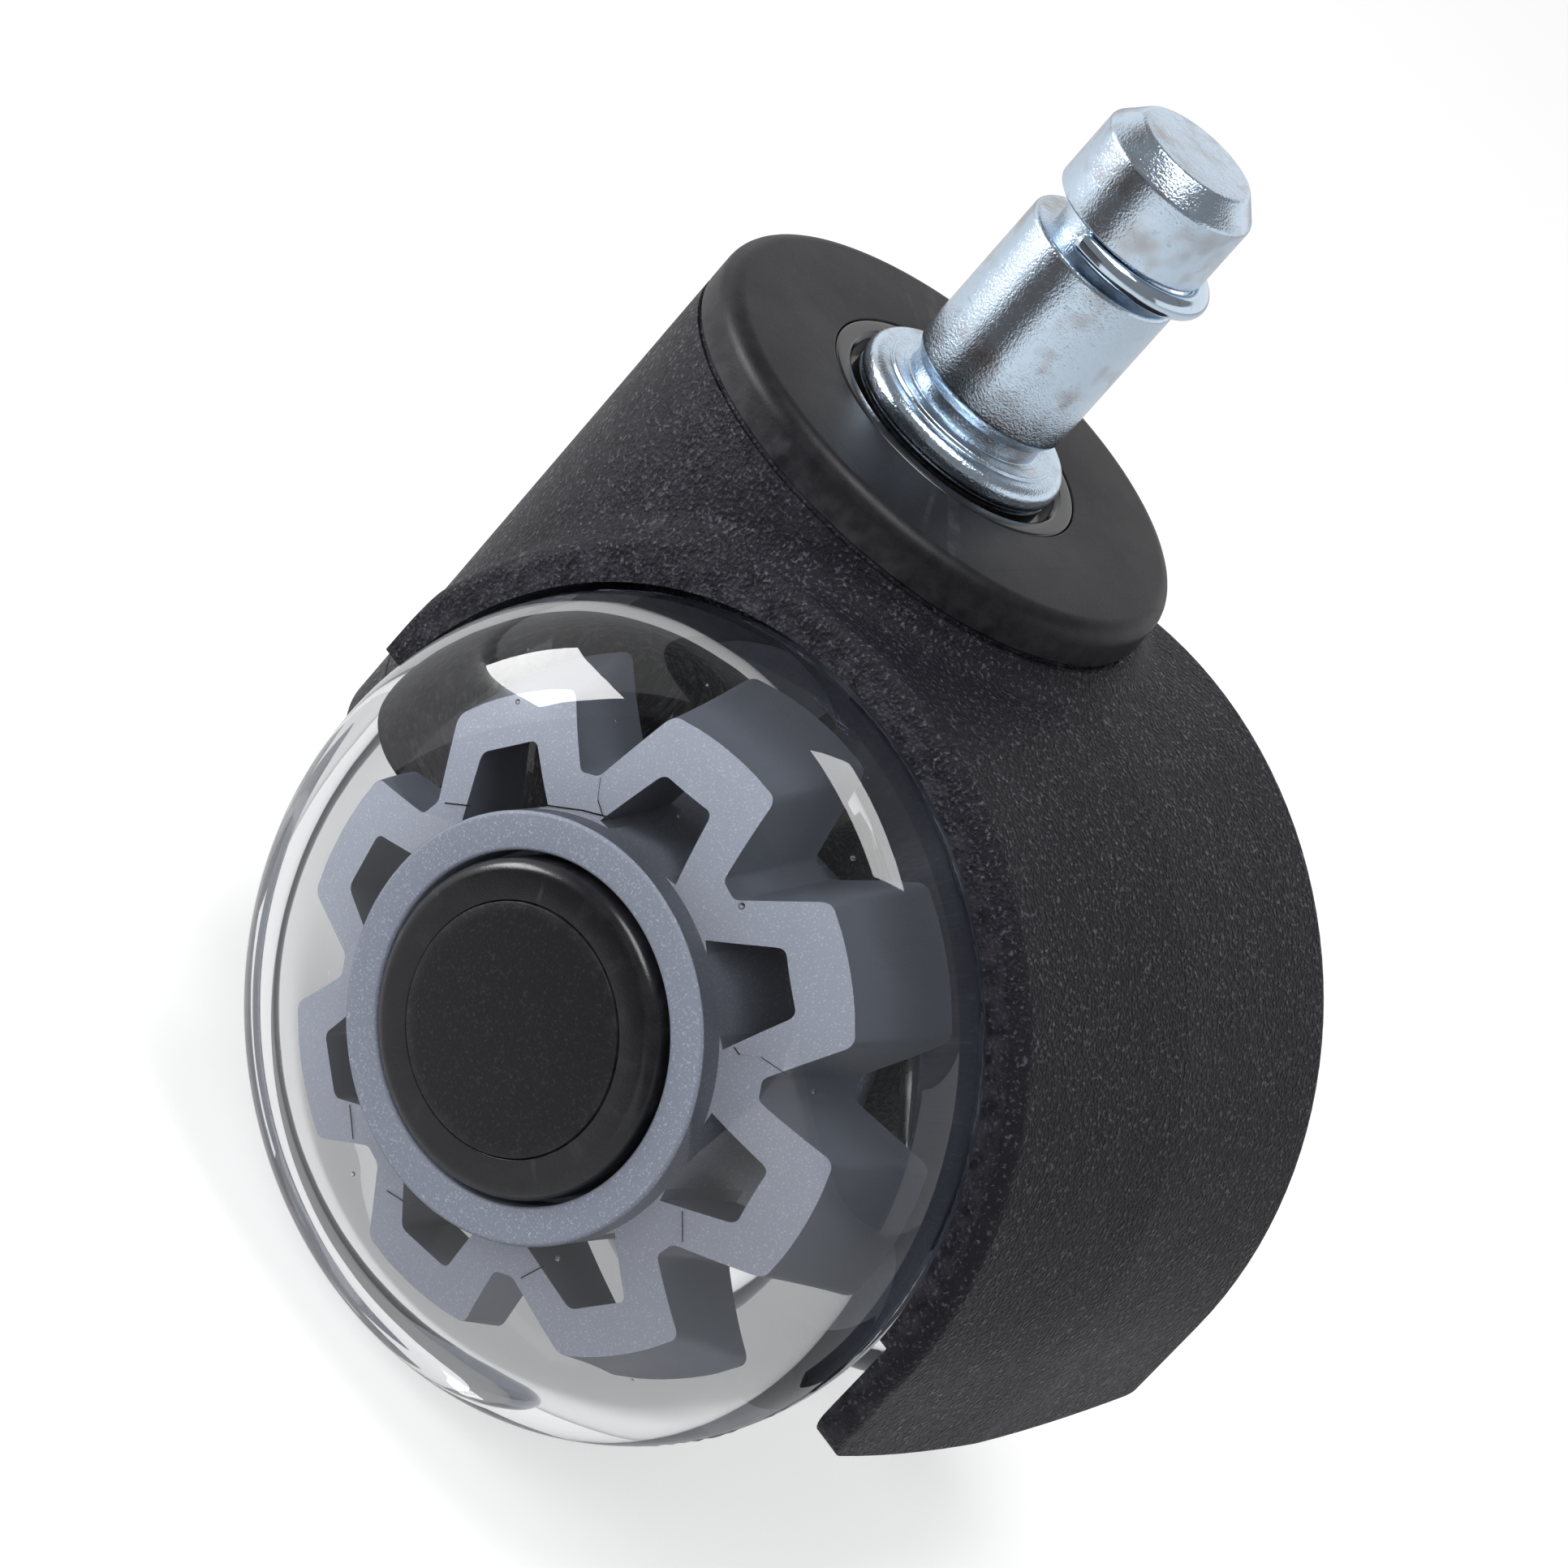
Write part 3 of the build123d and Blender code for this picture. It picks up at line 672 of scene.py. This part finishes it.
# Hair-fine flaws in the near tread, as runs of places: angle about the axle, distance from it
HAIRS = (((121.5, 15.35), (119.6, 14.29), (116.1, 13.61)),
         ((43.8, 13.91), (42.0, 14.2), (41.9, 15.25), (38.8, 16.48)),
         ((0, 14.54), (-5.6, 15.61)), ((-50.3, 15.29), (-43, 14.38)),
         ((-113.3, 15.59), (-106.3, 16.36)), ((-92.1, 15.85), (-85.4, 15.11)),
         ((165.2, 15.05), (157.4, 14.07)), ((133.2, 13.35), (122.3, 13.48), (113.1, 13.74)))


def cone_height(reach):
    """How far out the lobes' faces lie at a distance from the axle."""
    return CONE_FACE - CONE_FALL * (reach - CONE_R)


# The pieces

class CASTOR_OT_stem(bpy.types.Operator):
    """Build the plated stem and its split grip ring"""
    bl_idname = "castor.stem"
    bl_label = "Stem and grip ring"

    def execute(self, context):
        size = settings().sizes
        r, top, flange = size.stem_r / MM, size.stem_length / MM, size.flange_r / MM
        profile = rounded([
            (0, top), (4.1, top, 0.45), (r, top - 1.6, 0.5), (r, GROOVE_HIGH, 0.3),
            (GROOVE_R, GROOVE_HIGH), (GROOVE_R, GROOVE_LOW), (r, GROOVE_LOW, 0.35),
            (r, 1.75, 0.9), (NECK_R, 1.0, 0.35), (NECK_R, -0.12, 0.1), (5.35, -0.12, 0.08),
            (5.5, 0, 0.08), (STEP_R, 0, 0.12), (6.3, FLANGE_TOP, 0.06),
            (flange, FLANGE_TOP, 0.72), (flange, FLANGE_LOW, 0.6), (JOURNAL_R, FLANGE_LOW),
            (JOURNAL_R, CLIP_GROOVE_HIGH), (CLIP_GROOVE_R, CLIP_GROOVE_HIGH),
            (CLIP_GROOVE_R, CLIP_GROOVE_LOW), (JOURNAL_R, CLIP_GROOVE_LOW),
            (JOURNAL_R, -27.6), (3.7, JOURNAL_END), (0, JOURNAL_END)])
        stem = lathe_piece("stem_plated", profile, "stem", 192, closed=False)
        finish_with(stem, finish("zinc"))
        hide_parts("stem")
        ring = self.grip_ring()
        finish_with(ring, finish("spring"))
        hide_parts("grip_ring")
        return {"FINISHED"}

    def grip_ring(self):
        """The split wire ring, sprung to one side in its groove."""
        wire, mean, opening, steps, around = 0.8, 5.15, 125.0, 96, 24
        end_share, turned, sideways, height = 0.86, 22.5, 0.75, 14.6
        rings = []
        for k in range(steps + 1):
            a = math.radians(-180 + opening / 2 + (360 - opening) * k / steps)
            scale = end_share if k in (0, steps) else 1.0
            ring = []
            for j in range(around):
                b = 2 * math.pi * j / around
                reach = mean + wire * scale * math.cos(b)
                ring.append((reach * math.cos(a), reach * math.sin(a),
                             wire * scale * math.sin(b)))
            rings.append(ring)
        bm = bmesh.new()
        add_tube(bm, rings)
        bmesh.ops.recalc_face_normals(bm, faces=bm.faces)
        place = (Matrix.Rotation(math.radians(turned), 4, "Z")
                 @ Matrix.Translation((sideways, 0, height)))
        bmesh.ops.transform(bm, matrix=place, verts=bm.verts)
        return new_piece("grip_ring_sprung", bm, "stem")


class CASTOR_OT_boss(bpy.types.Operator):
    """Build the cap on the boss and the glossy bush in it"""
    bl_idname = "castor.boss"
    bl_label = "Boss cap and bush"

    def execute(self, context):
        size = settings().sizes
        boss, rim = size.boss_r / MM, size.bush_r / MM
        cap = lathe_piece("boss_cap_moulded", rounded([
            (rim + 0.03, BOSS_SEAM), (rim + 0.03, BOSS_FACE, 0.12), (boss, BOSS_FACE, 1.25),
            (boss, BOSS_SEAM + 0.22), (boss - 0.22, BOSS_SEAM)], 8),
            "housing", 256)
        finish_with(cap, finish("cap"))
        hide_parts("boss_cap")
        recess = 7.95
        bush = lathe_piece("stem_bush_glossy", rounded([
            (BUSH_BORE, BUSH_END), (BUSH_R, BUSH_END), (BUSH_R, BOSS_SEAM), (rim, BOSS_SEAM),
            (rim, BOSS_FACE, 0.22), (recess + 0.3, BOSS_FACE, 0.25),
            (recess, BOSS_FACE - 0.3, 0.1), (recess, BUSH_SEAT), (BUSH_BORE, BUSH_SEAT)], 5),
            "housing", 192)
        finish_with(bush, finish("bush"))
        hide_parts("stem_bush")
        return {"FINISHED"}


class CASTOR_OT_housing(bpy.types.Operator):
    """Give the grained housing its finish and continue its web downwards"""
    bl_idname = "castor.housing"
    bl_label = "Housing"

    def execute(self, context):
        finish_with(NODES["housing"], finish("housing"))
        bm = bmesh.new()
        arm = [(-9.9, WEB_HIGH + 0.6), (8.4, WEB_HIGH + 0.6), (10.77, WEB_LOW), (-9.9, WEB_LOW)]
        upright = Matrix.Rotation(math.radians(90), 4, "X")
        add_prism(bm, arm, [], -4.0, 4.0, upright)
        wall = arc_points(0, 0, 17.53, 125.4, 234.6, 48)
        pocket = arc_points(0, 0, 15.3, 143.7, 216.3, 32)
        add_prism(bm, wall, [pocket], WEB_LOW, WEB_HIGH)
        apron = new_piece("housing_lower_web", bm, "housing")
        bevel(apron, 0.4, 3)
        finish_with(apron, finish("nylon"))
        return {"FINISHED"}


def side_point(size, radius):
    """Where a lobe's side meets a circle about the axle, with the lobe along +X."""
    slope = (LOBE_ROOT_HALF - LOBE_TIP_HALF) / (size.lobe_tip_r / MM - LOBE_ROOT_R)
    x = radius
    for _ in range(30):
        half = LOBE_ROOT_HALF - slope * (x - LOBE_ROOT_R)
        x = math.sqrt(radius ** 2 - half ** 2)
    return x, half


def gear_outline(size):
    """Outline of the ring of lobes and of the slots through them, in side view."""
    count, tip = size.lobe_count, size.lobe_tip_r / MM
    root_x, root_half = side_point(size, VALLEY_R)
    tip_x, tip_half = side_point(size, tip)
    reach = math.degrees(math.atan2(root_half, root_x))
    corners, holes = [], []
    for k in range(count):
        start = LOBE_PHASE + k * 360 / count
        turn = Matrix.Rotation(math.radians(start), 2)
        end = [(x, y, 0) for x, y in arc_points(0, 0, tip, -7, 7, 6)]
        lobe = [(root_x, -root_half, 0.6), (tip_x, -tip_half, 0.8), *end,
                (tip_x, tip_half, 0.8), (root_x, root_half, 0.6)]
        for x, y, r in lobe:
            corners.append((*(turn @ Vector((x, y))), r))
        between = arc_points(0, 0, VALLEY_R, start + reach, start + 360 / count - reach, 6)
        corners += [(x, y, 0) for x, y in between[2:-2]]
        slot = rounded([(SLOT_ROOT, -SLOT_ROOT_HALF), (SLOT_TIP, -SLOT_TIP_HALF, 0.6),
                        (SLOT_TIP, SLOT_TIP_HALF, 0.6), (SLOT_ROOT, SLOT_ROOT_HALF)], 5)
        holes.append([tuple(turn @ Vector(p)) for p in slot])
    return rounded(corners, 5), holes


def add_lobes(bm, size):
    """The slotted lobes about Z, whose front faces fall towards their tips as a cone."""
    uncut_top, slices = 30.0, 64
    outline, slots = gear_outline(size)
    middle = arc_points(0, 0, LOBES_BORE, 0, 360, 96)[:-1]
    add_prism(bm, outline, [*slots, middle], LOBE_BACK, uncut_top)
    for k in range(slices):
        angle = math.pi * (k + 0.37) / slices
        bmesh.ops.bisect_plane(bm, geom=bm.verts[:] + bm.edges[:] + bm.faces[:], dist=1e-5,
                               plane_co=(0, 0, 0), plane_no=(math.cos(angle), math.sin(angle), 0))
    for v in bm.verts:
        if v.co.z > LOBE_BACK + 1:
            v.co.z = cone_height(math.hypot(v.co.x, v.co.y))


class CASTOR_OT_cores(bpy.types.Operator):
    """Build the grey cores with their slotted lobes"""
    bl_idname = "castor.cores"
    bl_label = "Wheel cores"

    def execute(self, context):
        size = settings().sizes
        flip = Matrix.Diagonal((1, -1, 1, 1))
        for side, sign in SIDES.items():
            body = side + "_wheel"
            place = on_axle(sign) @ (flip if sign > 0 else Matrix.Identity(4))
            bm = bmesh.new()
            add_lobes(bm, size)
            bmesh.ops.transform(bm, matrix=place, verts=bm.verts)
            bmesh.ops.recalc_face_normals(bm, faces=bm.faces)
            lobes = new_piece(side + "_core_lobes", bm, body)
            bevel(lobes, 0.45, 4)
            finish_with(lobes, finish("lobes"))
            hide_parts(side + "_wheel_core")
            ring = size.ring_r / MM
            barrel = lathe_piece(side + "_core_barrel", rounded([
                (9.2, CORE_BACK), (ring, CORE_BACK, 0.3), (ring, RING_FACE, 0.3),
                (10.72, RING_FACE, 0.25), (10.72, CAP_LEDGE), (9.2, CAP_LEDGE)]),
                body, 256, on_axle(sign))
            finish_with(barrel, finish("core"))
            bm = bmesh.new()
            add_lathe(bm, rounded([(3.05, 9.06), (5.6, 9.06, 0.2), (5.6, 24.15, 0.2),
                                   (3.05, 24.15)]), 96, on_axle(sign))
            add_lathe(bm, [(5.5, 15), (9.3, 15), (9.3, 17.4), (5.5, 17.4)], 128, on_axle(sign))
            for k in range(size.lobe_count):
                turn = Matrix.Rotation(math.radians(k * 360 / size.lobe_count), 4, "Z")
                bar = [(5.3, -0.9), (9.5, -0.9), (9.5, 0.9), (5.3, 0.9)]
                add_prism(bm, bar, [], CORE_BACK, 15.2, on_axle(sign) @ turn)
            hub = new_piece(side + "_core_hub", bm, body)
            finish_with(hub, finish("core"))
        return {"FINISHED"}


class CASTOR_OT_treads(bpy.types.Operator):
    """Build the clear treads with their flash line and a few bubbles"""
    bl_idname = "castor.treads"
    bl_label = "Clear treads"

    def execute(self, context):
        size = settings().sizes
        r, inner, back_round, flash = size.tread_r / MM, 13.0, 7.0, 0.07
        pulls = [Vector(p) for p in ((size.ring_r / MM, TREAD_FACE), (21.53, TREAD_FACE),
                                     (r, TREAD_WIDE + 5.7), (r, TREAD_WIDE + 0.1))]
        front = [tuple(p) for p in interpolate_bezier(*pulls, 48)]
        rear = arc_points(r - back_round, TREAD_WIDE, back_round, -1.2, -90, 28)
        fin = [(r + flash, TREAD_WIDE + 0.03), (r + flash, TREAD_WIDE - 0.03)]
        profile = [(inner, TREAD_FACE), *front, *fin, *rear, (inner, TREAD_BACK)]
        fin_rows = {1 + len(front) + k for k in (0, 1)}
        for side, sign in SIDES.items():
            rng = random.Random(7 + sign)
            ragged = [rng.uniform(-0.06, 0.02) for _ in range(320)]
            bm = bmesh.new()
            add_lathe(bm, profile, 320, on_axle(sign), wobble=lambda row, k: (
                ragged[k] if row in fin_rows else 0))
            self.add_bubbles(bm, rng, sign)
            if sign < 0:
                self.hairs(side)
            tread = new_piece(side + "_tread_clear", bm, side + "_wheel", 50)
            finish_with(tread, finish("tread"))
            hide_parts(side + "_tread")
        return {"FINISHED"}

    def hairs(self, side):
        """Hair-fine dark flaws that lie just in front of the lobes of the near wheel."""
        thick, around, in_front = 0.045, 5, 0.12
        bm = bmesh.new()
        for run in HAIRS:
            rings = []
            for angle, reach in run:
                turn = math.radians(angle)
                depth = cone_height(reach) + in_front
                ring = []
                for k in range(around):
                    spin = 2 * math.pi * k / around
                    r = reach + thick * math.cos(spin)
                    ring.append((r * math.cos(turn), -depth - thick * math.sin(spin),
                                 r * math.sin(turn)))
                rings.append(ring)
            add_tube(bm, rings)
        bmesh.ops.recalc_face_normals(bm, faces=bm.faces)
        bmesh.ops.translate(bm, vec=AXLE / MM, verts=bm.verts)
        flaws = new_piece(side + "_tread_hairs", bm, side + "_wheel")
        finish_with(flaws, finish("bush"))

    def add_bubbles(self, bm, rng, sign):
        """Air bubbles, as small hollow spheres whose faces look inwards."""
        for angle, reach, depth, radius in BUBBLES:
            turn = math.radians(angle if sign < 0 else rng.uniform(0, 360))
            place = Matrix.Translation(AXLE / MM) @ Matrix.Translation(
                (reach * math.cos(turn), sign * depth, reach * math.sin(turn)))
            made = bmesh.ops.create_icosphere(bm, subdivisions=2, radius=radius, matrix=place)
            faces = {f for v in made["verts"] for f in v.link_faces}
            bmesh.ops.reverse_faces(bm, faces=list(faces))


class CASTOR_OT_hub_caps(bpy.types.Operator):
    """Build the black hub caps and the grained discs set in them"""
    bl_idname = "castor.hub_caps"
    bl_label = "Hub caps"

    def execute(self, context):
        size = settings().sizes
        cap_r, disc_r = size.cap_r / MM, size.disc_r / MM
        for side, sign in SIDES.items():
            body = side + "_wheel"
            seat_r = disc_r + 0.05
            cap = lathe_piece(side + "_hub_cap_ring", rounded([
                (cap_r - 1.5, CAP_LEDGE), (cap_r, CAP_LEDGE), (cap_r, HUB_CAP_FACE, 1.0),
                (seat_r, HUB_CAP_FACE, 0.1), (seat_r, DISC_SEAT), (0, DISC_SEAT),
                (0, HUB_CAP_INSIDE), (cap_r - 1.5, HUB_CAP_INSIDE)], 8),
                body, 224, on_axle(sign), closed=False)
            finish_with(cap, finish("hub"))
            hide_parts(side + "_hub_cap")
            dome = [(disc_r * k / 10, DISC_TOP - 0.32 * (k / 10) ** 2) for k in range(10)]
            disc = lathe_piece(side + "_cap_disc_grained", [
                (0, DISC_SEAT), (disc_r, DISC_SEAT), (disc_r, 29.47), (disc_r - 0.03, 29.53),
                (disc_r - 0.1, 29.56), *reversed(dome)],
                body, 192, on_axle(sign), closed=False)
            finish_with(disc, finish("disc"))
            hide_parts(side + "_cap_disc")
        return {"FINISHED"}


class CASTOR_OT_small_parts(bpy.types.Operator):
    """Give the axle, its washers and the clips their finishes"""
    bl_idname = "castor.small_parts"
    bl_label = "Axle, washers and clips"

    def execute(self, context):
        plain = ["axle", "thrust_washer", "right_axle_washer", "left_axle_washer"]
        springy = ["stem_clip", "right_push_clip", "left_push_clip"]
        for names, look in ((plain, "washer"), (springy, "spring")):
            for name in names:
                finish_with(NODES[name], finish(look))
        return {"FINISHED"}


FLOOR_HALF, FLOOR_GAP = 6000, 0.02
PALE = (0.55, 0.55, 0.55, 1)
WALL_R, WALL_FLARE, WALL_TOP, WALL_GLOW = 1500, 1.1, 950, 0.8
CARD_COLOUR = (0.10, 0.09, 0.085, 1)
# The dark card: distance from the stem's axis and height
CARD_ROWS = ((85, -61.5), (160, -61.5), (260, -50), (380, 20), (420, 130))
LAMP_DISTANCE = 0.6


def ring_point(reach, degrees, height):
    """A point at a distance and a direction from the stem's axis."""
    turn = math.radians(degrees)
    return reach * math.cos(turn), reach * math.sin(turn), height


class CASTOR_OT_stage(bpy.types.Operator):
    """Build the floor, the lights and the camera"""
    bl_idname = "castor.stage"
    bl_label = "Studio"

    def execute(self, context):
        studio = settings().studio
        scene = context.scene
        scene.view_settings.view_transform = "Standard"
        self.floor(studio)
        self.world(studio)
        self.softbox("side_softbox", Vector((-0.86, -0.48, 0.03)), 0.30, 0.27, studio.side_power)
        self.softbox("top_softbox", Vector((-0.03, -0.1, 0.95)), 0.34, 0.22, studio.top_power)
        fill = self.softbox("front_fill", Vector((0.1, -0.85, 0.5)), 0.40, 0.40,
                            studio.front_power)
        fill.visible_glossy = False
        self.backdrop()
        self.dark_card()
        self.camera(studio)
        return {"FINISHED"}

    def floor(self, studio):
        bm = bmesh.new()
        bmesh.ops.create_grid(bm, x_segments=8, y_segments=8, size=FLOOR_HALF)
        level = CAD_BOX[0][2] / MM - FLOOR_GAP
        bmesh.ops.translate(bm, vec=(0, 0, level), verts=bm.verts)
        stage_piece("floor", bm, self.pale("floor_pale", studio.floor_glow, studio.glass_glow))

    def backdrop(self):
        """A pale wall behind the castor, which its upward faces show."""
        around = range(0, 221, 10)
        bm = bmesh.new()
        add_sheet(bm, [[ring_point(WALL_R, a, CAD_BOX[0][2] / MM) for a in around],
                       [ring_point(WALL_R * WALL_FLARE, a, WALL_TOP) for a in around]])
        stage_piece("backdrop", bm, self.pale("wall_pale", WALL_GLOW, WALL_GLOW))

    def pale(self, name, seen, mirrored):
        """A pale surface, lifted towards white where it is seen, mirrored or seen in glass."""
        material, tree, shader = new_material(
            name, roughness=0.9, specular_ior_level=0.0, base_color=PALE)
        rays = add_node(tree, "ShaderNodeLightPath")
        in_glass = math_node(tree, "MAXIMUM", rays.outputs["Is Glossy Ray"],
                             rays.outputs["Is Transmission Ray"])
        direct = math_node(tree, "MULTIPLY", rays.outputs["Is Camera Ray"], seen)
        glow = add_node(tree, "ShaderNodeEmission", {"Color": (1, 1, 1, 1)})
        tree.links.new(math_node(tree, "ADD", direct, math_node(
            tree, "MULTIPLY", in_glass, mirrored)), glow.inputs["Strength"])
        both = add_node(tree, "ShaderNodeAddShader")
        tree.links.new(shader.outputs[0], both.inputs[0])
        tree.links.new(glow.outputs[0], both.inputs[1])
        tree.links.new(both.outputs[0], tree.nodes["Material Output"].inputs["Surface"])
        return material

    def world(self, studio):
        world = bpy.data.worlds.new("studio")
        bpy.context.scene.world = world
        world.use_nodes = True
        tree = world.node_tree
        back = tree.nodes["Background"]
        back.inputs["Color"].default_value = (1, 1, 1, 1)
        back.inputs["Strength"].default_value = studio.world_level

    def softbox(self, name, direction, width, height, power):
        lamp = bpy.data.lights.new(name, "AREA")
        lamp.shape = "RECTANGLE"
        lamp.size, lamp.size_y = width, height
        lamp.energy = power
        box = bpy.data.objects.new(name, lamp)
        bpy.context.scene.collection.objects.link(box)
        direction.normalize()
        box.location = AXLE + direction * LAMP_DISTANCE
        box.rotation_mode = "QUATERNION"
        box.rotation_quaternion = direction.to_track_quat("Z", "Y")
        box.visible_camera = False
        return box

    def dark_card(self):
        """A black card in front of the wheels, seen only in gloss."""
        bm = bmesh.new()
        add_sheet(bm, [[ring_point(reach, a, height) for a in range(-128, -79, 6)]
                       for reach, height in CARD_ROWS])
        material, _, _ = new_material(
            "card_black", roughness=1.0, specular_ior_level=0.0, base_color=CARD_COLOUR)
        card = stage_piece("dark_card", bm, material)
        card.visible_camera = False
        card.visible_diffuse = False
        card.visible_transmission = False
        card.visible_shadow = False

    def camera(self, studio):
        data = bpy.data.cameras.new("camera")
        data.lens = studio.lens
        data.sensor_width = 36
        data.clip_start, data.clip_end = 0.01, 50
        camera = bpy.data.objects.new("camera", data)
        bpy.context.scene.collection.objects.link(camera)
        right = Vector((0.577839, 0.546947, 0.605765))
        up = Vector((-0.73873, 0.034978, 0.673093))
        back = Vector((0.346957, -0.836436, 0.424258))
        turn = Matrix((right, up, back)).transposed().to_4x4()
        camera.matrix_world = Matrix.Translation(Vector(studio.eye)) @ turn
        bpy.context.scene.camera = camera


class CASTOR_PT_panel(bpy.types.Panel):
    """Steps that dress the castor"""
    bl_label = "Castor"
    bl_idname = "CASTOR_PT_panel"
    bl_space_type = "VIEW_3D"
    bl_region_type = "UI"
    bl_category = "Castor"

    def draw(self, context):
        for step in STEPS:
            self.layout.operator(step.bl_idname)
        for group in ("sizes", "finishes", "studio"):
            box = self.layout.box()
            values = getattr(settings(), group)
            for name in values.__annotations__:
                box.prop(values, name)


STEPS = (CASTOR_OT_stem, CASTOR_OT_boss, CASTOR_OT_housing, CASTOR_OT_cores, CASTOR_OT_treads,
         CASTOR_OT_hub_caps, CASTOR_OT_small_parts, CASTOR_OT_stage)
CLASSES = (CastorSizes, CastorFinishes, CastorStudio, CastorSettings, *STEPS, CASTOR_PT_panel)


def register():
    for cls in CLASSES:
        bpy.utils.register_class(cls)
    bpy.types.Scene.castor = PointerProperty(type=CastorSettings)


def unregister():
    del bpy.types.Scene.castor
    for cls in reversed(CLASSES):
        bpy.utils.unregister_class(cls)


def main():
    register()
    for step in STEPS:
        area, name = step.bl_idname.split(".")
        getattr(getattr(bpy.ops, area), name)()


if __name__ == "__main__":
    main()
